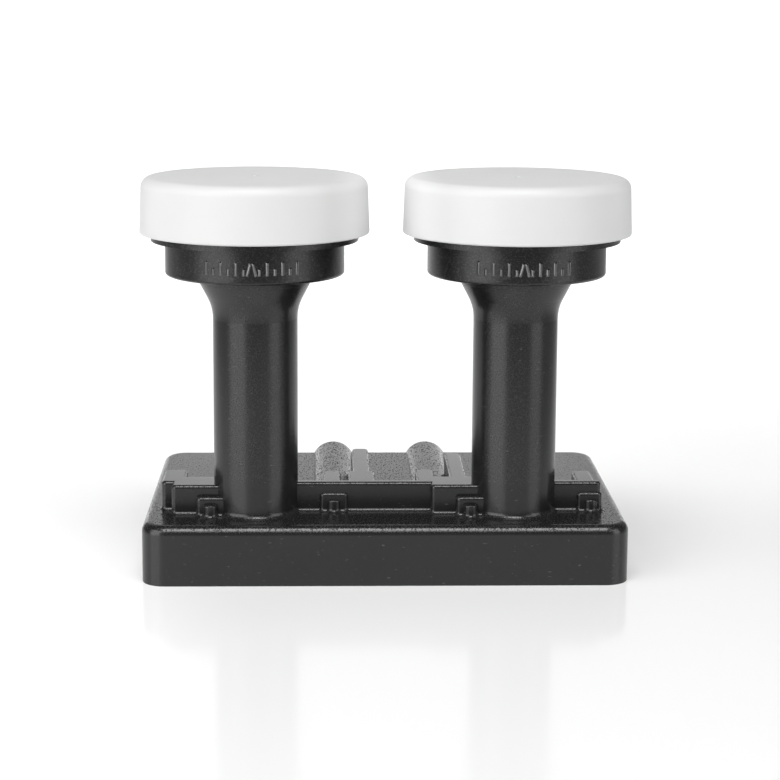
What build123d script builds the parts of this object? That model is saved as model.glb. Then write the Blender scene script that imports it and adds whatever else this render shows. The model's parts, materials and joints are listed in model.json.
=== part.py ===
from build123d import *
import os

# Twin-feed satellite LNB standing on its back, in millimetres.
# X runs along the body, Y from its front face to its connectors, Z up along the necks.
# The origin is on the resting face, midway between the axes of the two necks.

# Body of the casting.
end_overhang = 30.35          # neck axis to the end face beside it
front_depth = 18.8            # plane of the necks to the front face
rear_depth = 69.0             # plane of the necks to the rear face
deck_height = 16.4
base_corner_radius = 6.4
deck_edge_radius = 2.5
side_wall = 4.6
deck_wall = 2.4

# Necks and horns.
neck_spacing = 70.9
neck_radius = 11.5            # fits a 23 mm clamp
neck_foot_radius = 1.4
flare_blend_radius = 12.0
neck_wall = 2.0
flare_length = 9.2
flare_radius = 16.3
collar_bottom = 82.2
collar_radius = 24.2
collar_height = 9.3
collar_edge_radius = 0.8
flange_radius = 29.05
rim_step = 1.05               # the rim is smaller than the cap flange by this much
rim_height = 2.9
flange_height = 10.1
throat_lift = 3.0             # start of the outer flare to the start of the inner one
choke_ring_radius = 19.0
choke_ring_wall = 2.0
choke_floor_wall = 2.2
choke_ring_setback = 2.0      # horn mouth to the top of the choke ring
horn_wall = 2.4
groove_depth = 1.45
groove_width = 2.0
groove_lift = 4.0             # flange underside to the middle of the seal groove

# Horn caps and their seals.
cap_wall = 1.8
cap_window = 1.6
cap_draft = 0.6
cap_air_gap = 2.5
cap_lip_height = 1.0
cap_edge_radius = 2.8
cap_foot_radius = 0.5
cap_clearance = 0.15
cap_lip_clearance = 0.45
gate_radius = 0.9
gate_height = 0.2
seal_clearance = 0.05

# Ribs on the deck. Distances along X are from the neck's axis, along Y from the plane of the necks.
rib_height = 8.0
rib_corner_radius = 1.2
rib_edge_radius = 0.9
rib_foot_radius = 0.9
island_reach = 22.9
island_front = 5.4
island_rear = 5.0
wall_front = 2.0
wall_thickness = 3.0
end_wall_reach = 24.2
side_tongue_offset = 24.0
side_tongue_width = 5.2
side_tongue_front = 0.9
side_tongue_rear = 13.0
near_tongue_offset = 20.9
near_tongue_width = 4.9
near_tongue_rear = 11.2
left_end_tongue_offset = 22.8
left_end_tongue_width = 6.3
right_end_tongue_offset = 20.1
right_end_tongue_width = 5.2
long_strip_offset = 29.1
long_strip_width = 4.8
long_strip_rear = 38.7
long_strip_foot_width = 7.4
long_strip_foot_rear = 11.5
short_strip_offset = 14.9
short_strip_width = 4.7
short_strip_rear = 32.9

# Screw bosses that show on the deck, one on each island and one on each wall.
boss_block_width = 7.8
boss_block_height = 5.2
island_block_run = 1.3        # how far the island's block runs on towards the neck
end_block_overhang = 0.3      # past the end of the right wall
wall_block_reach = 1.0        # how far the block stands out in front of its rib
island_block_reach = 2.2
boss_block_edge_radius = 0.9
boss_post_radius = 2.1
boss_post_height = 3.3
boss_post_edge_radius = 0.5
wall_boss_offset = 21.4
wall_post_proud = 1.0         # how far the post stands out in front of its block
island_boss_offset = 12.2
island_post_proud = 2.2

# Half-round connector bosses and the connectors in them.
connector_spacing = 28.4
hump_radius = 6.6
hump_axis_drop = 3.4          # below the deck
hump_edge_radius = 1.0
connector_axis_drop = 4.8     # below the deck
barrel_length = 19.0
barrel_lip = 2.0
barrel_lip_radius = 2.4
spigot_radius = 4.4
spigot_clearance = 0.05
hexagon_across_flats = 11.0
hexagon_height = 3.0
thread_radius = 4.7625        # 3/8-32 thread
thread_length = 9.0
thread_chamfer = 0.5
connector_bore_radius = 3.0
connector_seal_thickness = 1.0
connector_seal_wall = 0.9
connector_seal_clearance = 0.1
insulator_setback = 1.0
insulator_clearance = 0.05
contact_radius = 1.1
contact_setback = 0.7
contact_socket_length = 21.5
contact_bore_radius = 0.45
contact_bore_depth = 9.5
contact_tail_radius = 0.45
contact_tail_length = 14.0
contact_clearance = 0.05

# Back cover, gasket and cover screws.
cover_lip = 1.8
cover_thickness = 2.0
cover_clearance = 0.2
gasket_thickness = 0.8
gasket_clearance = 0.3
cover_screw_inset = 7.6
cover_boss_radius = 3.6
cover_screw_radius = 1.2
cover_screw_length = 9.0
cover_head_radius = 2.7
cover_head_height = 1.4
cover_head_setback = 0.1
cover_hole_radius = 1.6
pilot_clearance = 0.05
pilot_spare_depth = 1.0
driver_slot_width = 0.6
driver_slot_length = 2.8
driver_slot_depth = 0.8

# Circuit board, inner shield and what they carry.
solder_gap = 0.05
board_thickness = 0.8
board_clearance = 0.6
probe_width = 1.6
probe_length = 6.0
shield_lift = 1.8             # gasket face to the shield's underside
shield_floor = 1.6
shield_wall = 1.6
shield_screw_radius = 0.95
shield_screw_depth = 6.0
shield_screw_end = 4.0        # from the rear end of a strip to the screw under it
shield_head_radius = 1.9
shield_head_height = 1.3
screw_pillar_radius = 2.4
screw_hole_clearance = 0.15
absorber_length = 28.0
absorber_clearance = 0.4      # below the capacitors
absorber_margin = 2.0
chip_size = 5.0
chip_height = 0.9
chip_setback = 9.0            # back-short cup to the mixer chips
switch_size = 6.0
crystal_width = 3.2
crystal_height = 1.2
regulator_length = 6.5
regulator_width = 6.0
regulator_height = 2.3
power_setback = 11.0          # rear edge of the board to the regulator and its capacitors
capacitor_length = 3.2
capacitor_width = 1.6
capacitor_pitch = 6.0
choke_size = 4.0
choke_height = 2.0
choke_setback = 13.0
choke_clearance = 3.3         # to the pillar under the long strip
transistor_size = 2.0
transistor_height = 0.8
transistor_gap = 3.0

# Shares that keep a rounding inside the wall that carries it.
corner_share = 0.45
edge_share = 0.8
foot_share = 1.1

# Heights and places that follow from the sizes above.
half_spacing = neck_spacing / 2
base_width = neck_spacing + 2 * end_overhang
base_depth = front_depth + rear_depth
base_middle_y = (rear_depth - front_depth) / 2
cavity_top = deck_height - deck_wall
ledge_height = cover_thickness + gasket_thickness
waveguide_radius = neck_radius - neck_wall
neck_foot_margin = foot_share * neck_foot_radius
flare_start = collar_bottom - flare_length
throat_start = flare_start + throat_lift
collar_top = collar_bottom + collar_height
rim_radius = flange_radius - rim_step
flange_bottom = collar_top + rim_height
mouth_height = flange_bottom + flange_height
groove_floor_radius = flange_radius - groove_depth
groove_height = flange_bottom + groove_lift
cap_inner_radius = flange_radius + cap_clearance
cap_radius = cap_inner_radius + cap_wall
cap_bottom = flange_bottom - cap_lip_height
cap_ceiling = mouth_height + cap_air_gap
cap_top = cap_ceiling + cap_window
rib_top = deck_height + rib_height
wall_rear = wall_thickness - wall_front
rib_root = -wall_front / 2
foot_margin = foot_share * rib_foot_radius
wall_post_y = boss_post_radius - wall_front - wall_block_reach - wall_post_proud
island_post_y = boss_post_radius - island_front - island_block_reach - island_post_proud
hump_axis_height = deck_height - hump_axis_drop
connector_axis_height = deck_height - connector_axis_drop
barrel_front = rear_depth - barrel_length
spigot_end = barrel_lip - barrel_length
hexagon_top = connector_seal_thickness + hexagon_height
connector_end = hexagon_top + thread_length
insulator_end = connector_end - insulator_setback
contact_end = insulator_end - contact_setback
socket_start = contact_end - contact_socket_length
board_top = connector_axis_height - contact_tail_radius - solder_gap
board_bottom = board_top - board_thickness
board_rear = barrel_front - board_clearance
shield_bottom = ledge_height + shield_lift
shield_floor_top = shield_bottom + shield_floor
cup_radius = waveguide_radius + shield_wall
neck_axes = {"left": -half_spacing, "right": half_spacing}
connector_axes = {"left": -connector_spacing / 2, "right": connector_spacing / 2}
long_strip_x = long_strip_offset - half_spacing
short_strip_x = half_spacing - short_strip_offset
wall_bosses = [(x + wall_boss_offset, wall_post_y) for x in neck_axes.values()]
island_bosses = [(x - island_boss_offset, island_post_y) for x in neck_axes.values()]
strip_screws = [
    (long_strip_x, long_strip_rear - shield_screw_end),
    (short_strip_x, short_strip_rear - shield_screw_end),
]
shield_screw_places = wall_bosses + island_bosses + strip_screws
cover_screw_x = base_width / 2 - cover_screw_inset
cover_screw_rows = [cover_screw_inset - front_depth, base_middle_y, rear_depth - cover_screw_inset]
cover_screw_places = [(side * cover_screw_x, y) for side in (-1, 1) for y in cover_screw_rows]


def turned(points, rounds=()):
    """Solid of revolution about Z from (radius, height) points, with the named corners rounded."""
    profile = make_face(Polyline(*points, close=True))
    for corner, radius in rounds:
        vertex = profile.vertices().sort_by_distance(Vector(*corner))[0]
        profile = fillet(vertex, radius)
    return revolve(Plane.XZ * profile, Axis.Z)


def post(x, y, radius, bottom, top):
    """Upright cylinder between two heights."""
    return Pos(x, y, bottom) * extrude(Circle(radius), top - bottom)


def bar(x_low, x_high, y_low, y_high, radius):
    """Plan of a straight bar with rounded corners."""
    plan = RectangleRounded(x_high - x_low, y_high - y_low, radius)
    return Pos((x_low + x_high) / 2, (y_low + y_high) / 2) * plan


def base_plan(inset):
    """Plan of the body, moved inwards."""
    radius = max(base_corner_radius - inset, rib_corner_radius)
    return Pos(0, base_middle_y) * RectangleRounded(base_width - 2 * inset, base_depth - 2 * inset, radius)


def along_connector(side, solid):
    """Places a solid modelled along Z on a connector's axis, with its zero at the rear face."""
    return Pos(connector_axes[side], rear_depth, connector_axis_height) * Rot(-90, 0, 0) * solid


def rib(x_low, x_high, y_low, y_high, top, edge_radius):
    """Straight rib on the deck: rounded corners, a rounded top edge and a hollow fillet at its foot."""
    corner = min(rib_corner_radius, corner_share * min(x_high - x_low, y_high - y_low))
    plan = bar(x_low, x_high, y_low, y_high, corner)
    stem = Pos(0, 0, cavity_top) * extrude(plan, top - cavity_top)
    stem = fillet(stem.faces().sort_by(Axis.Z)[-1].edges(), min(edge_radius, edge_share * corner))
    margin = foot_margin
    footprint = bar(x_low - margin, x_high + margin, y_low - margin, y_high + margin, corner + margin)
    body = stem + Pos(0, 0, cavity_top) * extrude(footprint, deck_wall)
    ledge = [face for face in body.faces().filter_by(Axis.Z) if face.inner_wires()][0]
    return fillet(ledge.inner_wires()[0].edges(), rib_foot_radius)


def deck_ribs():
    """Islands, walls, tongues and strips that stand on the deck beside and between the necks."""
    left, right = neck_axes["left"], neck_axes["right"]
    spans = [
        (left, right - island_reach / 2, -wall_front, wall_rear),
        (right, right + end_wall_reach, -wall_front, wall_rear),
    ]
    strips = [
        (long_strip_x, long_strip_width, rib_root, long_strip_rear),
        (long_strip_x, long_strip_foot_width, rib_root, long_strip_foot_rear),
        (short_strip_x, short_strip_width, rib_root, short_strip_rear),
        (left - left_end_tongue_offset, left_end_tongue_width, -side_tongue_front, side_tongue_rear),
        (left + near_tongue_offset, near_tongue_width, rib_root, near_tongue_rear),
        (right - side_tongue_offset, side_tongue_width, -side_tongue_front, side_tongue_rear),
        (right + right_end_tongue_offset, right_end_tongue_width, rib_root, near_tongue_rear),
    ]
    spans += [(x - island_reach, x, -island_front, island_rear) for x in (left, right)]
    spans += [(x - width / 2, x + width / 2, front, rear) for x, width, front, rear in strips]
    return [rib(*span, rib_top, rib_edge_radius) for span in spans]


def screw_boss(x, y, block_end, face_y, reach):
    """Low block on a rib's face with a round post standing out of it."""
    block_start = x - boss_block_width / 2
    block_top = deck_height + boss_block_height
    rear_y = face_y + wall_thickness / 2
    block = rib(block_start, block_end, face_y - reach, rear_y, block_top, boss_block_edge_radius)
    post_top = deck_height + boss_post_height
    outline = [
        (0, cavity_top),
        (boss_post_radius + foot_margin, cavity_top),
        (boss_post_radius + foot_margin, deck_height),
        (boss_post_radius, deck_height),
        (boss_post_radius, post_top),
        (0, post_top),
    ]
    rounds = [
        ((boss_post_radius, deck_height), rib_foot_radius),
        ((boss_post_radius, post_top), boss_post_edge_radius),
    ]
    return block + Pos(x, y, 0) * turned(outline, rounds)


def connector_hump(x):
    """Half-round boss on the deck from the wall to the rear face, with a rounded rear edge."""
    length = rear_depth - rib_root
    outline = [
        (0, 0),
        (hump_radius, 0),
        (hump_radius, length),
        (0, length),
    ]
    barrel = turned(outline, [((hump_radius, length), hump_edge_radius)])
    hump = Pos(x, rib_root, hump_axis_height) * Rot(-90, 0, 0) * barrel
    return hump & Pos(0, 0, cavity_top) * extrude(base_plan(0), rib_height + deck_wall)


def horn():
    """Neck and horn: flare, collar, rim and cap flange outside, throat and choke ring inside."""
    groove_low = groove_height - groove_width / 2
    groove_high = groove_height + groove_width / 2
    choke_floor = collar_top + choke_floor_wall
    choke_wall_radius = groove_floor_radius - horn_wall
    ring_top = mouth_height - choke_ring_setback
    ring_inner_radius = choke_ring_radius - choke_ring_wall
    outside = [
        (waveguide_radius, cavity_top),
        (neck_radius + neck_foot_margin, cavity_top),
        (neck_radius + neck_foot_margin, deck_height),
        (neck_radius, deck_height),
        (neck_radius, flare_start),
        (flare_radius, collar_bottom),
        (collar_radius, collar_bottom),
        (collar_radius, collar_top),
        (rim_radius, collar_top),
        (rim_radius, flange_bottom),
        (flange_radius, flange_bottom),
        (flange_radius, groove_low),
        (groove_floor_radius, groove_low),
        (groove_floor_radius, groove_high),
        (flange_radius, groove_high),
        (flange_radius, mouth_height),
    ]
    inside = [
        (choke_wall_radius, mouth_height),
        (choke_wall_radius, choke_floor),
        (choke_ring_radius, choke_floor),
        (choke_ring_radius, ring_top),
        (ring_inner_radius, ring_top),
        (ring_inner_radius, choke_floor),
        (waveguide_radius, throat_start),
    ]
    rounds = [
        ((neck_radius, deck_height), neck_foot_radius),
        ((neck_radius, flare_start), flare_blend_radius),
        ((collar_radius, collar_bottom), collar_edge_radius),
    ]
    return turned(outside + inside, rounds)


def connector_bore():
    """Stepped bore for a connector's spigot, along Z from the rear face inwards."""
    seat = Pos(0, 0, spigot_end) * extrude(Circle(spigot_radius + spigot_clearance), -spigot_end)
    return seat + Pos(0, 0, -barrel_length) * extrude(Circle(barrel_lip_radius), barrel_length)


def inner_bosses():
    """What stands in the cavity: waveguide sleeves, screw bosses and the connector barrels."""
    sleeves = [post(x, 0, neck_radius, board_top, deck_height) for x in neck_axes.values()]
    pads = [post(x, y, screw_pillar_radius, board_top, deck_height) for x, y in shield_screw_places]
    bosses = [post(x, y, cover_boss_radius, ledge_height, deck_height) for x, y in cover_screw_places]
    barrel = Pos(0, 0, -barrel_length) * extrude(Circle(hump_radius), barrel_length)
    return sleeves + pads + bosses + [along_connector(side, barrel) for side in connector_axes]


def housing():
    """The casting: body, deck ribs, necks and horns, hollowed from below."""
    body = extrude(base_plan(0), deck_height)
    body = fillet(body.faces().sort_by(Axis.Z)[-1].edges(), deck_edge_radius)
    for solid in deck_ribs():
        body += solid
    right_wall_end = neck_axes["right"] + end_wall_reach
    for x, y in wall_bosses:
        block_end = min(x + boss_block_width / 2, right_wall_end + end_block_overhang)
        body += screw_boss(x, y, block_end, -wall_front, wall_block_reach)
    for x, y in island_bosses:
        block_end = x + boss_block_width / 2 + island_block_run
        body += screw_boss(x, y, block_end, -island_front, island_block_reach)
    for x in neck_axes.values():
        body += Pos(x, 0, 0) * horn()
    for x in connector_axes.values():
        body += connector_hump(x)

    cavity = extrude(base_plan(side_wall), cavity_top)
    for boss in inner_bosses():
        cavity -= boss
    body -= cavity
    body -= extrude(base_plan(cover_lip), ledge_height)
    for x in neck_axes.values():
        body -= post(x, 0, waveguide_radius, board_top, throat_start)
    for side in connector_axes:
        body -= along_connector(side, connector_bore())
    for x, y in shield_screw_places:
        top = board_top + shield_screw_depth + pilot_spare_depth
        body -= post(x, y, shield_screw_radius + pilot_clearance, board_top, top)
    for x, y in cover_screw_places:
        top = cover_head_setback + cover_screw_length + pilot_spare_depth
        body -= post(x, y, cover_screw_radius + pilot_clearance, ledge_height, top)
    return body


def horn_cap():
    """White cap: drafted skirt with a snap lip, a flat window and the mark of its moulding gate."""
    lip_radius = rim_radius + cap_lip_clearance
    lip_top = flange_bottom - cap_clearance
    outline = [
        (0, cap_ceiling),
        (cap_inner_radius, cap_ceiling),
        (cap_inner_radius, lip_top),
        (lip_radius, lip_top),
        (lip_radius, cap_bottom),
        (cap_radius, cap_bottom),
        (cap_radius - cap_draft, cap_top),
        (0, cap_top),
    ]
    rounds = [
        ((cap_radius, cap_bottom), cap_foot_radius),
        ((cap_radius - cap_draft, cap_top), cap_edge_radius),
    ]
    return turned(outline, rounds) + post(0, 0, gate_radius, cap_ceiling, cap_top + gate_height)


def cap_seal():
    """O-ring in the flange's groove."""
    section = (cap_inner_radius - groove_floor_radius) / 2 - seal_clearance
    return Pos(0, 0, groove_height) * Torus((cap_inner_radius + groove_floor_radius) / 2, section)


def connector():
    """Connector body along Z: spigot, hexagon and threaded barrel, bored through."""
    spigot = Pos(0, 0, spigot_end) * extrude(Circle(spigot_radius), hexagon_top - spigot_end)
    hexagon = RegularPolygon(hexagon_across_flats / 2, 6, major_radius=False)
    nut = Pos(0, 0, connector_seal_thickness) * extrude(hexagon, hexagon_height)
    barrel = Pos(0, 0, hexagon_top) * extrude(Circle(thread_radius), thread_length)
    barrel = chamfer(barrel.faces().sort_by(Axis.Z)[-1].edges(), thread_chamfer)
    bore = Pos(0, 0, spigot_end) * extrude(Circle(connector_bore_radius), connector_end - spigot_end)
    return spigot + nut + barrel - bore


def connector_seal():
    """Flat rubber ring between the hexagon and the rear face."""
    inner = spigot_radius + connector_seal_clearance
    ring = Circle(inner + connector_seal_wall) - Circle(inner)
    return extrude(ring, connector_seal_thickness)


def insulator():
    """Dielectric sleeve round the centre contact, narrow behind the socket."""
    length = insulator_end - spigot_end
    section = Circle(connector_bore_radius - insulator_clearance)
    section -= Circle(contact_tail_radius + contact_clearance)
    sleeve = Pos(0, 0, spigot_end) * extrude(section, length)
    socket_hole = extrude(Circle(contact_radius + contact_clearance), insulator_end - socket_start)
    return sleeve - Pos(0, 0, socket_start) * socket_hole


def contact():
    """Centre contact: a bored socket with a thin tail that reaches over the board."""
    socket = Pos(0, 0, socket_start) * extrude(Circle(contact_radius), contact_socket_length)
    tail = extrude(Circle(contact_tail_radius), contact_tail_length)
    pin = socket + Pos(0, 0, socket_start - contact_tail_length) * tail
    bore = extrude(Circle(contact_bore_radius), contact_bore_depth)
    return pin - Pos(0, 0, contact_end - contact_bore_depth) * bore


def screw_head(bottom, clearance):
    """Countersunk head of a cover screw, widened by a clearance."""
    top = cover_head_setback + cover_head_height
    outline = [
        (0, bottom),
        (cover_head_radius + clearance, bottom),
        (cover_screw_radius + clearance, top),
        (0, top),
    ]
    return turned(outline)


def back_cover():
    """Closing plate, flush with the casting's rim, with countersunk holes."""
    plate = extrude(base_plan(cover_lip + cover_clearance), cover_thickness)
    for x, y in cover_screw_places:
        plate -= post(x, y, cover_hole_radius, 0, cover_thickness)
        plate -= Pos(x, y, 0) * screw_head(0, cover_clearance)
    return plate


def cover_gasket():
    """Flat seal on the casting's ledge, with an eye round each cover screw."""
    ring = base_plan(cover_lip + gasket_clearance) - base_plan(side_wall)
    for x, y in cover_screw_places:
        ring += Pos(x, y) * Circle(cover_boss_radius)
    for x, y in cover_screw_places:
        ring -= Pos(x, y) * Circle(cover_hole_radius)
    return Pos(0, 0, cover_thickness) * extrude(ring, gasket_thickness)


def cover_screws():
    """Countersunk screws with a cross slot, one in each boss."""
    shank = post(0, 0, cover_screw_radius, cover_head_setback, cover_head_setback + cover_screw_length)
    screw = shank + screw_head(cover_head_setback, 0)
    slot = Rectangle(driver_slot_length, driver_slot_width)
    slot += Rectangle(driver_slot_width, driver_slot_length)
    screw -= Pos(0, 0, cover_head_setback) * extrude(slot, driver_slot_depth)
    return [Pos(x, y, 0) * screw for x, y in cover_screw_places]


def board_plan(inset):
    """Plan of the board and shield: the cavity in front of the connector barrels, clear of the bosses."""
    half = base_width / 2 - side_wall - board_clearance - inset
    front = side_wall + board_clearance + inset - front_depth
    plan = bar(-half, half, front, board_rear - inset, rib_corner_radius)
    for x, y in cover_screw_places:
        plan -= Pos(x, y) * Circle(cover_boss_radius + board_clearance + inset)
    return plan


def circuit_board():
    """RF board with two waveguide windows, each with a pair of probe tongues at right angles."""
    plan = board_plan(0)
    for x in neck_axes.values():
        window = Circle(waveguide_radius)
        window -= Pos(0, waveguide_radius - probe_length / 2) * Rectangle(probe_width, probe_length)
        window -= Pos(waveguide_radius - probe_length / 2, 0) * Rectangle(probe_length, probe_width)
        plan -= Pos(x, 0) * window
    for x, y in shield_screw_places:
        plan -= Pos(x, y) * Circle(shield_screw_radius + screw_hole_clearance)
    return Pos(0, 0, board_bottom) * extrude(plan, board_thickness)


def inner_shield():
    """Cast lid under the board: a tray with a back-short cup behind each waveguide and screw pillars."""
    tray = Pos(0, 0, shield_bottom) * extrude(board_plan(0), board_bottom - shield_bottom)
    hollow = board_plan(shield_wall)
    for x in neck_axes.values():
        hollow -= Pos(x, 0) * Circle(cup_radius)
        hollow += Pos(x, 0) * Circle(waveguide_radius)
    for x, y in shield_screw_places:
        hollow -= Pos(x, y) * Circle(screw_pillar_radius)
    tray -= Pos(0, 0, shield_floor_top) * extrude(hollow, board_bottom - shield_floor_top)
    for x, y in shield_screw_places:
        tray -= post(x, y, shield_screw_radius + screw_hole_clearance, shield_bottom, board_bottom)
    return tray


def shield_screws():
    """Pan-head screws from below, through shield and board into the deck's bosses."""
    top = board_top + shield_screw_depth
    shank = post(0, 0, shield_screw_radius, shield_bottom, top)
    screw = shank + post(0, 0, shield_head_radius, shield_bottom - shield_head_height, shield_bottom)
    return [Pos(x, y, 0) * screw for x, y in shield_screw_places]


def absorber_pad():
    """Microwave absorber lying on the floor of the shield, behind the left waveguide."""
    x = neck_axes["left"]
    front = cup_radius + absorber_margin
    rear = board_rear - shield_wall - absorber_margin
    plan = bar(x - absorber_length / 2, x + absorber_length / 2, front, rear, rib_corner_radius)
    top = board_bottom - capacitor_width - absorber_clearance
    return Pos(0, 0, shield_floor_top) * extrude(plan, top - shield_floor_top)


def under_board(x, y, length, width, height):
    """Component soldered to the board's underside."""
    return Pos(x, y, board_bottom) * extrude(Rectangle(length, width), -height)


def on_board(x, y, length, width, height):
    """Component soldered to the board's upper face, below the deck."""
    return Pos(x, y, board_top) * extrude(Rectangle(length, width), height)


def board_parts():
    """Components by node name: chips, crystal, regulator, transistors, capacitors and chokes."""
    middle_x = (long_strip_x + short_strip_x) / 2
    chip_y = cup_radius + chip_setback
    power_y = board_rear - power_setback
    switch_y = (chip_y + crystal_width / 2 + power_y - regulator_width / 2) / 2
    choke_y = board_rear - choke_setback
    choke_reach = screw_pillar_radius + choke_clearance + choke_size / 2
    choke_places = [long_strip_x - choke_reach, connector_axes["right"]]
    reach = neck_radius + transistor_gap
    parts = {"crystal_can": [under_board(middle_x, chip_y, chip_size, crystal_width, crystal_height)]}
    parts["switch_chip"] = [under_board(middle_x, switch_y, switch_size, switch_size, chip_height)]
    regulator = under_board(middle_x, power_y, regulator_length, regulator_width, regulator_height)
    parts["regulator"] = [regulator]
    parts["chokes"] = [
        under_board(x, choke_y, choke_size, choke_size, choke_height) for x in choke_places
    ]
    parts["capacitors"] = []
    parts["amplifier_transistors"] = []
    for side, x in neck_axes.items():
        parts[f"mixer_chip_{side}"] = [under_board(x, chip_y, chip_size, chip_size, chip_height)]
        for step in (-1, 0, 1):
            capacitor_x = x + step * capacitor_pitch
            capacitor = under_board(capacitor_x, power_y, capacitor_length, capacitor_width, capacitor_width)
            parts["capacitors"].append(capacitor)
        for dx, dy in ((reach, 0), (0, reach)):
            transistor = on_board(x + dx, dy, transistor_size, transistor_size, transistor_height)
            parts["amplifier_transistors"].append(transistor)
    return parts


def all_nodes():
    """Every node's name with its solids."""
    nodes = {"housing": [housing()]}
    for side, x in neck_axes.items():
        nodes[f"cap_{side}"] = [Pos(x, 0, 0) * horn_cap()]
        nodes[f"cap_seal_{side}"] = [Pos(x, 0, 0) * cap_seal()]
    for side in connector_axes:
        nodes[f"connector_{side}"] = [along_connector(side, connector())]
        nodes[f"connector_seal_{side}"] = [along_connector(side, connector_seal())]
        nodes[f"insulator_{side}"] = [along_connector(side, insulator())]
        nodes[f"contact_{side}"] = [along_connector(side, contact())]
    nodes["back_cover"] = [back_cover()]
    nodes["cover_gasket"] = [cover_gasket()]
    nodes["cover_screws"] = cover_screws()
    nodes["circuit_board"] = [circuit_board()]
    nodes["inner_shield"] = [inner_shield()]
    nodes["shield_screws"] = shield_screws()
    nodes["absorber_pad"] = [absorber_pad()]
    nodes.update(board_parts())
    return nodes


os.makedirs("parts", exist_ok=True)
for name, pieces in all_nodes().items():
    solids = [solid for piece in pieces for solid in piece.solids()]
    shape = solids[0] if len(solids) == 1 else Compound(solids)
    export_step(shape, f"parts/{name}.step")
    print(name, len(solids), round(sum(solid.volume for solid in solids), 1))
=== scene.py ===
# %% [markdown]
# # A twin-feed satellite LNB on a white table
# The object is one black die-casting with two necks and two horns, closed by white caps, and with two
# threaded cable connectors at its back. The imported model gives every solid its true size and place, so this
# lesson only dresses it: it adds the small forms that are too fine for the solids, gives every surface its
# finish, and sets up a table, soft light and a camera.

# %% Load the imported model
import json

import bpy
import numpy as np
from mathutils import Matrix


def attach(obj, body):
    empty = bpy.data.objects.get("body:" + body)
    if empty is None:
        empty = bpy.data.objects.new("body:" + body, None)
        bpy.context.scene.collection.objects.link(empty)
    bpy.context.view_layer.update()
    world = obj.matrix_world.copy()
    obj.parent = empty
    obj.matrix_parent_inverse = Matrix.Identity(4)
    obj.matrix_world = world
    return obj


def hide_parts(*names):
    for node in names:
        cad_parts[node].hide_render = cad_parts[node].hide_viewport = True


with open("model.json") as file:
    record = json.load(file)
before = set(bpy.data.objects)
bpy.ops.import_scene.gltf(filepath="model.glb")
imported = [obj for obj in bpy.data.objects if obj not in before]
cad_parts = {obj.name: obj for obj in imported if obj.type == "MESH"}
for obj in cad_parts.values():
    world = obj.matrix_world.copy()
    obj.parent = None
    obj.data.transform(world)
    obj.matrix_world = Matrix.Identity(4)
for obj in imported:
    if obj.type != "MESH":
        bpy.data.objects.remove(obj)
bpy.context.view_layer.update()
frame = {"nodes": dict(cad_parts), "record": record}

nodes = frame["nodes"]
MM = 0.001


# %% [markdown]
# ## Surfaces as arrays
# A surface is a grid of points: one parameter runs down the rows and the other along the columns. Python
# could loop over the vertices, but numpy works out the whole grid at once, and the faces follow from the
# grid's own order. A ring or a tube is a grid whose last row or column joins the first.

# %% Helpers for surfaces
def grid_faces(rows, columns, wrap_rows=False, wrap_columns=False):
    """Corner numbers of a grid's cells: each cell joins a point with the next ones along both parameters."""
    row = np.arange(rows if wrap_rows else rows - 1)[:, None]
    column = np.arange(columns if wrap_columns else columns - 1)[None, :]
    next_row = (row + 1) % rows
    next_column = (column + 1) % columns
    corners = [
        row * columns + column,
        row * columns + next_column,
        next_row * columns + next_column,
        next_row * columns + column,
    ]
    return np.stack(np.broadcast_arrays(*corners), axis=-1).reshape(-1, 4)


def new_surface(name, points, faces):
    """Mesh object from an array of points in millimetres and an array of four-cornered faces."""
    mesh = bpy.data.meshes.new(name)
    mesh.from_pydata((np.asarray(points).reshape(-1, 3) * MM).tolist(), [], faces.tolist())
    mesh.polygons.foreach_set("use_smooth", np.ones(len(mesh.polygons), dtype=bool))
    mesh.update()
    surface = bpy.data.objects.new(name, mesh)
    bpy.context.scene.collection.objects.link(surface)
    print(f"{name}: {len(mesh.vertices)} points, {len(mesh.polygons)} faces")
    return surface


# %% [markdown]
# ## Shader maths as Python
# A procedural finish is arithmetic on noise patterns. Built node by node, the formula is hard to see. One
# small class wraps a node's output, so that `0.3 + 0.2 * grit` adds the Math nodes by itself, and a single
# method adds every other kind of node.

# %% A wire that does arithmetic
class Wire:
    """One output of a shader node. Arithmetic on it adds Math nodes to the same material."""

    def __init__(self, tree, socket):
        self.tree = tree
        self.socket = socket

    def node(self, kind, settings=None, values=None, output=0):
        """Adds a node of any kind: first its settings, then the numbers or wires of its sockets."""
        made = self.tree.nodes.new(kind)
        for name, value in (settings or {}).items():
            setattr(made, name, value)
        for key, value in (values or {}).items():
            if isinstance(value, Wire):
                self.tree.links.new(value.socket, made.inputs[key])
            else:
                made.inputs[key].default_value = value
        return Wire(self.tree, made.outputs[output])

    def math(self, operation, first, second):
        return self.node("ShaderNodeMath", {"operation": operation}, {0: first, 1: second})

    def __add__(self, other):
        return self.math("ADD", self, other)

    def __radd__(self, other):
        return self.math("ADD", other, self)

    def __sub__(self, other):
        return self.math("SUBTRACT", self, other)

    def __rsub__(self, other):
        return self.math("SUBTRACT", other, self)

    def __mul__(self, other):
        return self.math("MULTIPLY", self, other)

    def __rmul__(self, other):
        return self.math("MULTIPLY", other, self)

    def __abs__(self):
        return self.math("ABSOLUTE", self, 0.0)


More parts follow.
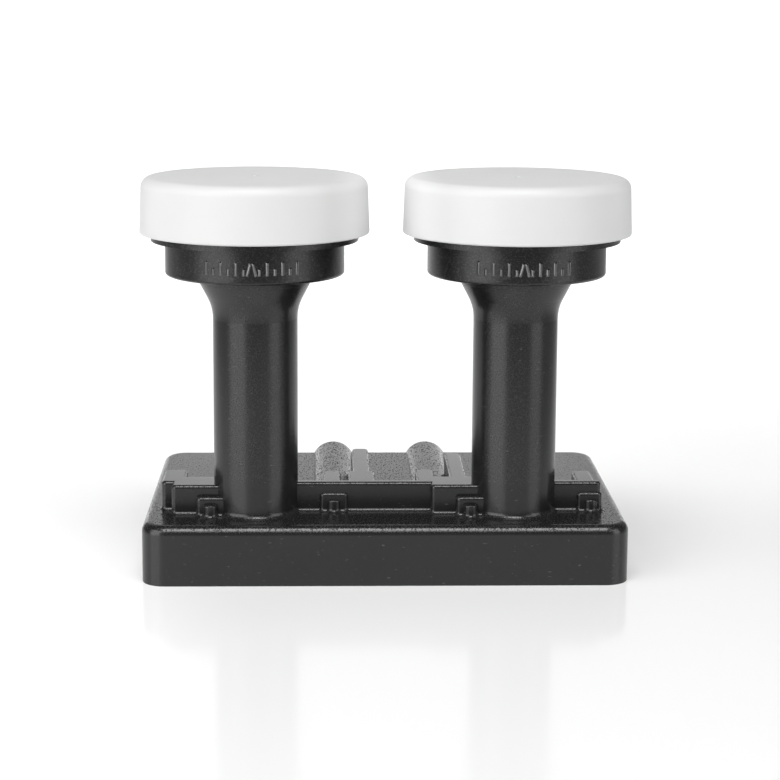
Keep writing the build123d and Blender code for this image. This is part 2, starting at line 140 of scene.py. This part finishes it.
# %% Patterns that the finishes share
def start_finish(name, **fixed):
    """New material with its shader, and a wire of the place on the piece in millimetres."""
    material = bpy.data.materials.new(name)
    material.use_nodes = True
    tree = material.node_tree
    shader = tree.nodes["Principled BSDF"]
    for socket, value in fixed.items():
        shader.inputs[socket.replace("_", " ")].default_value = value
    coordinates = tree.nodes.new("ShaderNodeTexCoord")
    metres = Wire(tree, coordinates.outputs["Object"])
    place = metres.node("ShaderNodeVectorMath", {"operation": "SCALE"}, {0: metres, "Scale": 1 / MM})
    return material, shader, place


def axes_of(place):
    """The place's coordinates along X, Y and Z, as three wires."""
    return [place.node("ShaderNodeSeparateXYZ", None, {0: place}, output=axis) for axis in "XYZ"]


def noise(place, size, detail=2.0):
    """Cloudy pattern from 0 to 1 with features of about that size in millimetres."""
    return place.node("ShaderNodeTexNoise", None, {"Vector": place, "Scale": 1 / size, "Detail": detail})


def stretched(place, along):
    """The place with each axis divided by a length, so that a pattern runs further along the larger ones."""
    shares = tuple(1 / length for length in along)
    return place.node("ShaderNodeVectorMath", {"operation": "MULTIPLY"}, {0: place, 1: shares})


def specks(place, size, amount):
    """Mask of separate round specks: 1 near a random centre in each cell of that size, 0 elsewhere."""
    distance = place.node("ShaderNodeTexVoronoi", None, {"Vector": place, "Scale": 1 / size})
    limits = {"Value": distance, "From Min": amount, "From Max": 0.4 * amount}
    return place.node("ShaderNodeMapRange", {"clamp": True}, limits)


def step(value, start, end):
    """Soft threshold: 0 before the start mark and 1 past the end mark, which may be the lower of the two."""
    limits = {"Value": value, "From Min": start, "From Max": end}
    return value.node("ShaderNodeMapRange", {"clamp": True, "interpolation_type": "SMOOTHSTEP"}, limits)


def blend(factor, first, second):
    """Colour between two others, given as grey or colour triples or wires."""
    ends = [c if isinstance(c, Wire) else (*np.broadcast_to(c, 3), 1.0) for c in (first, second)]
    return factor.node("ShaderNodeMix", {"data_type": "RGBA"}, {0: factor, 6: ends[0], 7: ends[1]}, output=2)


def relief(height, depth):
    """Normal of a surface whose height pattern, from 0 to 1, is that many millimetres deep."""
    return height.node("ShaderNodeBump", None, {"Height": height, "Distance": depth * MM})


def connect(shader, **wires):
    """Links wires to the shader's sockets."""
    for socket, wire in wires.items():
        wire.tree.links.new(wire.socket, shader.inputs[socket.replace("_", " ")])


# %% [markdown]
# ## Powder coat
# The casting is dusted with black powder and baked. The coat is satin, with a slow ripple like the peel of
# an orange, and here and there a rubbed or nicked spot. Powder settles on faces that look up, so the deck
# and the fillets are gritty, a little less at the two ends of the deck's rear. The tops of the ribs are
# polished by handling, a fine pale dust shows on the necks, and the horns are duller. The horns' colour is
# also darker, as painted shade. A strong bump alone would look like leather, so the grit is mostly a change
# of roughness, with little relief. The surface's own normal and its place on the casting tell which kind of
# face a point lies on.

# %% Black powder coat
RIB_TOP_HEIGHT = (22.5, 23.5)
NECK_FOOT_HEIGHT = (25.0, 27.0)
COLLAR_FOOT_HEIGHT = (79.0, 80.5)
REAR_DECK_DEPTH = (0.0, 12.0)
DECK_END_DISTANCE = (20.0, 36.0)
GRIT_LENGTHS = (0.42, 1.1, 0.42)
RUB_LENGTHS = (1.6, 1.6, 0.5)
PEEL_SIZE = 2.2
NICK_SPACING = 4.6
COAT_RELIEF = 0.026


def powder_coat(name, **fixed):
    """Black coat: a slow ripple all over, grit on faces that look up, and a polish on the ribs' tops."""
    material, shader, place = start_finish(name, Coat_Roughness=0.15, **fixed)
    normal = place.node("ShaderNodeTexCoord", output="Normal")
    lift = place.node("ShaderNodeSeparateXYZ", None, {0: normal}, output="Z")
    across, depth, height = axes_of(place)
    rib_top = step(lift, 0.90, 0.98) * step(height, *RIB_TOP_HEIGHT)
    deck_ends = step(depth, *REAR_DECK_DEPTH) * step(abs(across), *DECK_END_DISTANCE)
    grain = step(lift, 0.10, 0.60) * (1 - 0.8 * rib_top) * (1.2 - 0.7 * deck_ends)
    neck = step(height, *NECK_FOOT_HEIGHT)
    horn = step(height, *COLLAR_FOOT_HEIGHT)
    peel = noise(place, PEEL_SIZE, 1.0)
    grit = noise(stretched(place, GRIT_LENGTHS), 1.0, 1.0)
    pits = step(grit, 0.52, 0.64)
    cloud = noise(place, 18.0)
    rub = step(noise(stretched(place, RUB_LENGTHS), 1.0, 3.0), 0.68, 0.74)
    nick = specks(place, NICK_SPACING, 0.035)
    worn = rub * 0.5 + nick
    # painted shade: the horns get a darker coat colour than the rest of the casting
    coat = blend(horn, blend(cloud, 0.008, 0.013), 0.003)
    dust = (0.22 * neck + 0.35 * horn) * pits
    connect(
        shader,
        Base_Color=blend(worn, blend(dust, coat, 0.045), 0.09),
        Roughness=0.23 - 0.10 * rib_top + 0.07 * horn + grain * (0.32 * pits - 0.06) + 0.04 * cloud,
        Coat_Weight=0.26 * rib_top,
        Normal=relief((0.10 + 0.80 * grain) * grit + 0.20 * peel, COAT_RELIEF),
    )
    return material


coat_finish = powder_coat("black_powder_coat")
rubbed_finish = powder_coat("rubbed_powder_coat", IOR=2.2)
print("finishes:", coat_finish.name, rubbed_finish.name)


# %% [markdown]
# ## Cap plastic
# The caps are moulded in white plastic that lets microwaves through. It is smooth but not glossy, with a
# faint flow cloud and a very fine texture from the mould. Where the caps face each other across the gap,
# their colour is paler: painted light on the sides that the lamps hardly reach.

# %% White cap plastic
GAP_PAINTED_LIGHT_SIDE = (16.0, 5.5)
MOULD_TEXTURE = 0.5


def cap_plastic():
    """White plastic: a faint cloud, a fine texture, and painted light as a paler colour near the gap between
    the caps.
    """
    material, shader, place = start_finish("white_cap_plastic")
    cloud = noise(place, 16.0)
    texture = noise(place, MOULD_TEXTURE, 2.0)
    across = place.node("ShaderNodeSeparateXYZ", None, {0: place}, output="X")
    # painted light: the caps' colour is paler where they face each other across the gap
    between = step(abs(across), *GAP_PAINTED_LIGHT_SIDE)
    connect(
        shader,
        Base_Color=blend(between, blend(cloud, 0.63, 0.66), 0.80),
        Roughness=0.42 + 0.10 * texture,
        Normal=relief(texture, 0.012),
    )
    return material


cap_finish = cap_plastic()
print("finish:", cap_finish.name)


# %% [markdown]
# ## Plated and turned metal
# The connectors are brass, turned and plated with nickel; the centre contacts are plated with gold. Turning
# leaves fine rings round the axis, which here runs along Y, so the ring pattern is a noise that is long
# around the axis and short along it. Zinc-plated screws and the sheet of the back cover get their own.

# %% Metals
TURNING_RINGS = (40.0, 0.09, 40.0)


def plated_metal(name, colour, dark, roughness):
    """Turned and plated metal: fine rings along Y, a cloud of tarnish and small handling marks."""
    material, shader, place = start_finish(name, Metallic=1.0)
    rings = noise(stretched(place, TURNING_RINGS), 1.0, 3.0)
    tarnish = step(noise(place, 2.6, 3.0), 0.45, 0.75)
    marks = noise(place, 0.5, 3.0)
    connect(
        shader,
        Base_Color=blend(tarnish * 0.55, colour, dark),
        Roughness=roughness + 0.16 * tarnish + 0.10 * marks,
        Normal=relief(0.6 * rings + 0.4 * marks, 0.008),
    )
    return material


def sheet_metal(name, colour, dark, grain):
    """Sheet or cast metal with a grain that runs along X, and a cloudy oxide film."""
    material, shader, place = start_finish(name, Metallic=1.0)
    lines = noise(stretched(place, (grain, 0.25, 0.25)), 1.0, 3.0)
    film = noise(place, 9.0, 3.0)
    connect(
        shader,
        Base_Color=blend(film, colour, dark),
        Roughness=0.34 + 0.16 * lines + 0.10 * film,
        Normal=relief(lines, 0.02),
    )
    return material


nickel_finish = plated_metal("nickel_plate", (0.66, 0.64, 0.60), (0.46, 0.43, 0.38), 0.20)
gold_finish = plated_metal("gold_plate", (0.83, 0.61, 0.25), (0.60, 0.42, 0.17), 0.22)
zinc_finish = plated_metal("zinc_plate", (0.62, 0.63, 0.65), (0.44, 0.45, 0.48), 0.30)
cover_finish = sheet_metal("cover_sheet", (0.62, 0.62, 0.63), (0.50, 0.50, 0.52), 12.0)
shield_finish = sheet_metal("shield_casting", (0.60, 0.60, 0.61), (0.46, 0.46, 0.48), 0.8)
crystal_finish = sheet_metal("crystal_can", (0.70, 0.70, 0.69), (0.58, 0.58, 0.57), 4.0)
print("finishes:", [m.name for m in (nickel_finish, gold_finish, zinc_finish, cover_finish)])


# %% [markdown]
# ## Rubber, plastic and ceramic
# The rest is dull: rubber seals with a dusty bloom, the milky insulators, and the parts on the board. They
# share one recipe of a colour cloud, a grain and a roughness, and differ in colours and sizes.

# %% Dull finishes
def dull_finish(name, colour, shade, grain_size, depth, roughness):
    """Matt solid colour with a cloud of a second shade and a fine grain."""
    material, shader, place = start_finish(name)
    cloud = noise(place, 3.0, 3.0)
    grain = noise(place, grain_size, 3.0)
    connect(
        shader,
        Base_Color=blend(0.6 * cloud + 0.4 * grain, colour, shade),
        Roughness=roughness + 0.12 * grain,
        Normal=relief(grain, depth),
    )
    return material


rubber_finish = dull_finish("black_rubber", 0.018, 0.040, 0.25, 0.03, 0.62)
dielectric_finish = dull_finish("white_dielectric", (0.82, 0.80, 0.74), (0.70, 0.68, 0.62), 0.30, 0.01, 0.40)
laminate_finish = dull_finish("board_laminate", (0.06, 0.20, 0.10), (0.09, 0.27, 0.14), 0.40, 0.02, 0.34)
absorber_finish = dull_finish("absorber_foam", 0.045, 0.100, 0.30, 0.08, 0.80)
chip_finish = dull_finish("chip_plastic", 0.022, 0.040, 0.12, 0.02, 0.50)
capacitor_finish = dull_finish("capacitor_ceramic", (0.45, 0.32, 0.19), (0.58, 0.44, 0.29), 0.15, 0.01, 0.40)
ferrite_finish = dull_finish("choke_ferrite", 0.070, 0.110, 0.20, 0.03, 0.55)
ceramic_finish = dull_finish("transistor_ceramic", (0.72, 0.72, 0.67), (0.80, 0.80, 0.76), 0.15, 0.01, 0.42)

finish_of = {
    "black_powder_coat": coat_finish,
    "white_plastic": cap_finish,
    "black_rubber": rubber_finish,
    "nickel_plate": nickel_finish,
    "white_dielectric": dielectric_finish,
    "gold_plate": gold_finish,
    "cover_sheet": cover_finish,
    "screw_steel": zinc_finish,
    "board_laminate": laminate_finish,
    "shield_casting": shield_finish,
    "absorber_foam": absorber_finish,
    "chip_plastic": chip_finish,
    "crystal_metal": crystal_finish,
    "capacitor_ceramic": capacitor_finish,
    "choke_ferrite": ferrite_finish,
    "transistor_ceramic": ceramic_finish,
}
for subpart in frame["record"]["subparts"]:
    nodes[subpart["node"]].material_slots[0].material = finish_of[subpart["material_slot"]]


# %% [markdown]
# ## The scale on each collar
# The front of each collar has a raised scale for turning the feed in its clamp: long and short strokes with
# a pointer between them. The strokes stand only a few tenths of a millimetre proud. Each is a small ridge on
# the collar's cylinder, so all of them are worked out together as one array. A ridge with a long slope on
# its left and a short one on its right catches the left lamp along one side, which makes it readable on
# black.

# %% Raised strokes
NECK_SPACING = 70.9
COLLAR_RADIUS = 24.2
SCALE_BOTTOM = 84.7
STROKE_STEP = 2.07
STROKE_WIDTH = 0.95
STROKE_PROUD = 0.34
STROKE_CREST = 0.35
STROKE_SINK = 0.05
END_STEEPNESS = 8
END_ROUNDING = 0.6
LONG_STROKE = 3.8
SHORT_STROKE = 2.0
POINTER_HEIGHT = 3.6
POINTER_SPREAD = 1.25
SCALE_STEPS = 6


def scale_strokes():
    """Foot and head of every stroke on the unrolled collar, as (along, up) pairs in millimetres."""
    steps = np.array([n for n in range(-SCALE_STEPS, SCALE_STEPS + 1) if n != 0])
    length = np.where(steps % 2 == 0, LONG_STROKE, SHORT_STROKE)
    foot = np.stack([steps * STROKE_STEP, np.zeros_like(length)], axis=1)
    head = foot + np.stack([np.zeros_like(length), length], axis=1)
    legs = np.array([[-POINTER_SPREAD, 0.0], [POINTER_SPREAD, 0.0]])
    apex = np.array([[-STROKE_WIDTH / 4, POINTER_HEIGHT], [STROKE_WIDTH / 4, POINTER_HEIGHT]])
    return np.concatenate([foot, legs]), np.concatenate([head, apex])


def raised_scale(name, neck_x):
    """Ridges on a cylinder: across each stroke the height is two half parabolas that meet at the crest."""
    foot, head = scale_strokes()
    rows, columns = 13, 15
    across = np.linspace(-1, 1, rows)[None, :, None, None]
    along = np.linspace(0, 1, columns)[None, None, :, None]
    run = (head - foot)[:, None, None, :]
    side = np.stack([run[..., 1], -run[..., 0]], axis=-1)
    side = side / np.linalg.norm(side, axis=-1, keepdims=True)
    flat = foot[:, None, None, :] + along * run + across * side * STROKE_WIDTH / 2
    slope_width = np.where(across < STROKE_CREST, 1 + STROKE_CREST, 1 - STROKE_CREST)
    from_crest = (across - STROKE_CREST) / slope_width
    blunt_ends = (1 - np.abs(2 * along - 1) ** END_STEEPNESS) ** END_ROUNDING
    arch = (1 - from_crest**2) * blunt_ends
    radius = COLLAR_RADIUS - STROKE_SINK + (STROKE_PROUD + STROKE_SINK) * arch[..., 0]
    angle = flat[..., 0] / COLLAR_RADIUS
    x = neck_x + radius * np.sin(angle)
    y = -radius * np.cos(angle)
    z = SCALE_BOTTOM + flat[..., 1]
    points = np.stack([x, y, z], axis=-1)
    cell = grid_faces(rows, columns)
    first = np.arange(len(foot))[:, None, None] * rows * columns
    return new_surface(name, points, (first + cell[None]).reshape(-1, 4))


for side, sign in (("left", -1), ("right", 1)):
    scale = raised_scale(f"collar_scale_{side}", sign * NECK_SPACING / 2)
    scale.data.materials.append(rubbed_finish)
    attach(scale, "root")


# %% [markdown]
# ## Connectors with a real thread
# The solid's barrel is a plain cylinder at the crest of the thread. From behind, the thread is what one
# knows such a connector by, so a finer surface takes the solid's place. It is a turned profile whose radius
# also depends on the angle: in the nut's length it follows a hexagon, and in the barrel's a helix.

# %% Threaded connectors
CONNECTOR_SPACING = 28.4
REAR_FACE = 69.0
AXIS_HEIGHT = 11.6
SPIGOT_RADIUS = 4.4
HEX_ACROSS_FLATS = 11.0
HEX_START, HEX_END = 1.0, 4.0
THREAD_END = 13.0
CREST_RADIUS = 4.7625
THREAD_PITCH = 25.4 / 32
THREAD_DEPTH = 0.44
RELIEF_LENGTH = 0.7
END_CHAMFER = 0.5
BORE_RADIUS = 3.0
BORE_BOTTOM = 6.0
SPIGOT_START = -2.0
EDGE_BREAK = 0.1
BORE_STEP = 0.3
RUN_IN = 0.2
LAST_TURN_DEPTH = 0.6
GROOVE_SLOPE = 2.3
POINTS_PER_PITCH = 12
POINTS_AROUND = 120
SHARP_ANGLE = np.radians(38)


def hexagon_radius(angle):
    """Distance from the axis to the side of a hexagon in that direction."""
    turn = (angle + np.pi / 6) % (np.pi / 3) - np.pi / 6
    return HEX_ACROSS_FLATS / 2 / np.cos(turn)


def connector_sections():
    """Stations along the closed section: place on the axis, radius, share of hexagon and share of thread."""
    flat_radius = HEX_ACROSS_FLATS / 2
    corner_radius = flat_radius / np.cos(np.pi / 6)
    chamfer = (corner_radius - flat_radius) * np.tan(np.pi / 6)
    root = CREST_RADIUS - THREAD_DEPTH
    thread = np.arange(HEX_END + RELIEF_LENGTH, THREAD_END - END_CHAMFER, THREAD_PITCH / POINTS_PER_PITCH)
    fade = np.clip((thread - thread[0]) / THREAD_PITCH, 0, 1)
    before = [
        (SPIGOT_START, SPIGOT_RADIUS, 0, 0),
        (HEX_START, SPIGOT_RADIUS, 0, 0),
        (HEX_START, flat_radius - EDGE_BREAK, 0, 0),
        (HEX_START, flat_radius, 1, 0),
        (HEX_START + chamfer, corner_radius, 1, 0),
        (HEX_END - chamfer, corner_radius, 1, 0),
        (HEX_END, flat_radius, 1, 0),
        (HEX_END, flat_radius - EDGE_BREAK, 0, 0),
        (HEX_END, root, 0, 0),
        (HEX_END + RELIEF_LENGTH - RUN_IN, root, 0, 0),
    ]
    turns = [(z, root + (CREST_RADIUS - root) * f, 0, f) for z, f in zip(thread, fade)]
    after = [
        (THREAD_END - END_CHAMFER, CREST_RADIUS, 0, LAST_TURN_DEPTH),
        (THREAD_END, CREST_RADIUS - END_CHAMFER, 0, 0),
        (THREAD_END, BORE_RADIUS + EDGE_BREAK, 0, 0),
        (THREAD_END - EDGE_BREAK, BORE_RADIUS, 0, 0),
        (BORE_BOTTOM, BORE_RADIUS, 0, 0),
        (BORE_BOTTOM, BORE_RADIUS + BORE_STEP, 0, 0),
        (SPIGOT_START, BORE_RADIUS + BORE_STEP, 0, 0),
    ]
    return np.array(before + turns + after, dtype=float)


def threaded_connector(name, x):
    """Turned profile round Y: the radius is cut to the hexagon, and lowered in a V along the helix."""
    place, radius, hexagon, thread = connector_sections().T[:, :, None]
    angle = np.linspace(0, 2 * np.pi, POINTS_AROUND, endpoint=False)[None, :]
    phase = (place / THREAD_PITCH - angle / (2 * np.pi)) % 1.0
    groove = np.clip(GROOVE_SLOPE * (0.5 - np.abs(phase - 0.5)), 0, 1)
    limit = np.where(hexagon > 0, hexagon_radius(angle), np.inf)
    reach = np.minimum(radius, limit) - THREAD_DEPTH * thread * groove
    points = np.stack(
        [
            x + reach * np.sin(angle),
            np.broadcast_to(REAR_FACE + place, reach.shape),
            AXIS_HEIGHT + reach * np.cos(angle),
        ],
        axis=-1,
    )
    return new_surface(name, points, grid_faces(*reach.shape, wrap_rows=True, wrap_columns=True))


for side, sign in (("left", -1), ("right", 1)):
    connector = threaded_connector(f"threaded_connector_{side}", sign * CONNECTOR_SPACING / 2)
    connector.data.materials.append(nickel_finish)
    connector.data.set_sharp_from_angle(angle=SHARP_ANGLE)
    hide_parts(f"connector_{side}")
    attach(connector, "root")


# %% [markdown]
# ## The table
# A product table is one white sheet that curves up behind the object, so that no edge shows. Its profile is
# a floor, a quarter circle and a wall, carried along X. A grid of straight strips is enough for that.

# %% White sweep
FLOOR_FRONT = -4000.0
WALL_PLACE = 1300.0
BEND_RADIUS = 500.0
WALL_TOP = 1500.0
HALF_WIDTH = 4000.0
BEND_POINTS = 33
WIDTH_POINTS = 9


def sweep_profile():
    """Floor, quarter circle and wall as (y, z) points in millimetres."""
    bend = np.linspace(0, np.pi / 2, BEND_POINTS)
    y = WALL_PLACE - BEND_RADIUS + BEND_RADIUS * np.sin(bend)
    z = BEND_RADIUS - BEND_RADIUS * np.cos(bend)
    return np.concatenate([[[FLOOR_FRONT, 0.0]], np.stack([y, z], axis=1), [[WALL_PLACE, WALL_TOP]]])


def sweep_sheet(name):
    """The profile carried along X in straight lines."""
    profile = sweep_profile()
    x = np.linspace(-HALF_WIDTH, HALF_WIDTH, WIDTH_POINTS)
    grid = np.empty((len(x), len(profile), 3))
    grid[..., 0] = x[:, None]
    grid[..., 1:] = profile[None]
    return new_surface(name, grid, grid_faces(*grid.shape[:2])[:, ::-1])


table = sweep_sheet("white_table")


# %% [markdown]
# ## The table's finish
# The sheet is slightly glossy, and the object shows faintly in it. Light of its own keeps it white away from
# the lamps, most of it to the left and behind. A black coat shows what stands around it, so the sheet is
# darker in front, at both sides and high on the wall, outside the picture: those parts are mirrored as the
# dark bands of the necks and the dark front of the deck. Each part of the sheet is a soft threshold on the
# place, given by where it starts and ends, in millimetres.

# %% White acrylic
WHITE_FLOOR_DEPTH = (-420.0, -140.0)
BRIGHT_FLOOR_DEPTH = (0.0, 110.0)
BRIGHT_FLOOR_LEFT = (-30.0, -90.0)
WHITE_WALL_DEPTH = (60.0, 900.0)
SIDE_CENTRE = -45.0
SIDE_SPREAD = 0.22
SIDE_DISTANCE = (165.0, 325.0)
WALL_CENTRE = 20.0
WALL_END_DISTANCE = (150.0, 260.0)
WALL_END_DROP = 90.0
DARK_WALL_HEIGHT = (210.0, 420.0)
RING_DISTANCE = (800.0, 1400.0)
RING_HEIGHT = (0.0, 200.0)


def sheet_finish():
    """White acrylic: a very slight cloud, a smooth face and a share of its own light."""
    material, shader, place = start_finish("white_table", IOR=1.35, Emission_Strength=1.0)
    cloud = noise(place, 300.0)
    across, depth, height = axes_of(place)
    white_floor = step(depth, *WHITE_FLOOR_DEPTH)
    white_wall = step(depth, *WHITE_WALL_DEPTH)
    beside = step(abs(across - SIDE_CENTRE) - SIDE_SPREAD * depth, *SIDE_DISTANCE)
    wall_ends = step(abs(across - WALL_CENTRE), *WALL_END_DISTANCE)
    above = step(height + WALL_END_DROP * wall_ends, *DARK_WALL_HEIGHT)
    left = step(across, *BRIGHT_FLOOR_LEFT)
    bright_floor = left.math("MAXIMUM", left, step(depth, *BRIGHT_FLOOR_DEPTH))
    around = place.node("ShaderNodeVectorMath", {"operation": "LENGTH"}, {0: place}, output="Value")
    ring = step(around, *RING_DISTANCE) * (1 - step(height, *RING_HEIGHT))
    floor_light = blend(white_floor * (0.5 + 0.5 * bright_floor), 0.0, 0.34)
    own_light = blend(ring, blend(white_wall, floor_light, 0.7), 0.7)
    white = blend(white_floor, 0.30, blend(cloud, 0.77, 0.79))
    connect(
        shader,
        Base_Color=blend(beside * (1 - ring), white, 0.50),
        Roughness=0.10 + 0.04 * cloud,
        Emission_Color=blend((0.9 * beside + 0.7 * above) * (1 - ring), own_light, 0.0),
    )
    return material


table.data.materials.append(sheet_finish())
print("finish:", table.data.materials[0].name)


# %% [markdown]
# ## Soft light
# Two tall soft boxes stand in front, a strong one far to the left and a weaker one to the right. A round
# black neck mirrors them as two upright bands, with dark bands between, and that is what shows its
# roundness. A third box above the front draws the bright lines on fillets and rib edges, and the white wall
# behind is mirrored in the flat deck. A photographer keeps a lamp off a piece with a black card. Light
# linking does the same here: two weak lamps reach only the caps' sides, and one only the casting's edges.

# %% Lamp makers
def lit_group(name, members):
    """Collection that a lamp can be told to light alone."""
    group = bpy.data.collections.new(name)
    for member in members:
        group.objects.link(nodes[member])
    return group


LAMP_AIM = np.array([0, 0, 0.05])


def soft_box(name, bearing, distance, height, width, tall, power, only=None):
    """Upright area lamp at a bearing from straight ahead, in degrees, turned to the object's middle."""
    lamp = bpy.data.lights.new(name, "AREA")
    lamp.shape = "RECTANGLE"
    lamp.size = width
    lamp.size_y = tall
    lamp.energy = power
    angle = np.radians(bearing)
    place = np.array([np.sin(angle) * distance, -np.cos(angle) * distance, height])
    back = place - LAMP_AIM
    back = back / np.linalg.norm(back)
    right = np.cross([0, 0, 1.0], back)
    right = right / np.linalg.norm(right)
    up = np.cross(back, right)
    body = bpy.data.objects.new(name, lamp)
    bpy.context.scene.collection.objects.link(body)
    turned = np.eye(4)
    turned[:3, :] = np.column_stack([right, up, back, place])
    body.matrix_world = Matrix(turned.tolist())
    body.visible_camera = False
    body.light_linking.receiver_collection = only
    print(f"{name}: bearing {bearing}, {power} W")
    return body


# %% Lamps and the room
soft_box("left_soft_box", bearing=-50, distance=1.0, height=0.40, width=0.90, tall=1.0, power=9.4)
soft_box("right_soft_box", bearing=56, distance=1.0, height=0.40, width=0.60, tall=1.0, power=4.7)
soft_box("top_soft_box", bearing=0, distance=0.43, height=0.90, width=0.55, tall=0.42, power=5.6)

caps_alone = lit_group("lit_caps", ["cap_left", "cap_right"])
casting_alone = lit_group("lit_casting", ["housing"])
cap_box = {"distance": 0.9, "height": 0.17, "width": 0.40, "tall": 0.30, "only": caps_alone}
soft_box("cap_light_left", bearing=-110, power=1.0, **cap_box)
soft_box("cap_light_right", bearing=110, power=0.9, **cap_box)
edge_box = {"distance": 0.70, "height": 0.72, "width": 0.55, "tall": 0.30, "only": casting_alone}
soft_box("edge_light", bearing=0, power=2.2, **edge_box)

world = bpy.data.worlds.new("studio")
bpy.context.scene.world = world
world.use_nodes = True
room = world.node_tree.nodes["Background"]
room.inputs["Color"].default_value = (1, 1, 1, 1)
room.inputs["Strength"].default_value = 0.08
bpy.context.scene.view_settings.view_transform = "Standard"


# %% [markdown]
# ## Camera
# The camera looks at the front, a little from the left and from above, as the photograph was taken. Its
# focal length in pixels and its place were worked out from the object's known sizes in the picture.

# %% Camera
PICTURE_SIDE = 780
FOCAL_PIXELS = 1984.87
SENSOR_WIDTH = 36.0
CAMERA_PLACE = np.array([-14.767, -532.895, 159.531])
CAMERA_YAW = 0.0299
CAMERA_PITCH = 0.1636
CAMERA_ROLL = 0.0059
PICTURE_SHIFT = -0.1


def camera_axes(yaw, pitch, roll):
    """Right, up and backward directions: turned about Z, then tilted down, then rolled about the view."""
    ahead = np.array([np.sin(yaw), np.cos(yaw), 0.0])
    right = np.array([np.cos(yaw), -np.sin(yaw), 0.0])
    upright = np.array([0.0, 0.0, 1.0])
    view = np.cos(pitch) * ahead - np.sin(pitch) * upright
    up = np.sin(pitch) * ahead + np.cos(pitch) * upright
    rolled_right = np.cos(roll) * right + np.sin(roll) * up
    rolled_up = np.cos(roll) * up - np.sin(roll) * right
    return rolled_right, rolled_up, -view


camera = bpy.data.objects.new("camera", bpy.data.cameras.new("camera"))
camera.data.sensor_width = SENSOR_WIDTH
camera.data.lens = FOCAL_PIXELS / PICTURE_SIDE * SENSOR_WIDTH
camera.data.shift_y = PICTURE_SHIFT
placed = np.eye(4)
placed[:3, :] = np.column_stack([*camera_axes(CAMERA_YAW, CAMERA_PITCH, CAMERA_ROLL), CAMERA_PLACE * MM])
camera.matrix_world = Matrix(placed.tolist())
bpy.context.scene.collection.objects.link(camera)
bpy.context.scene.camera = camera
print("lens in mm:", round(camera.data.lens, 2))
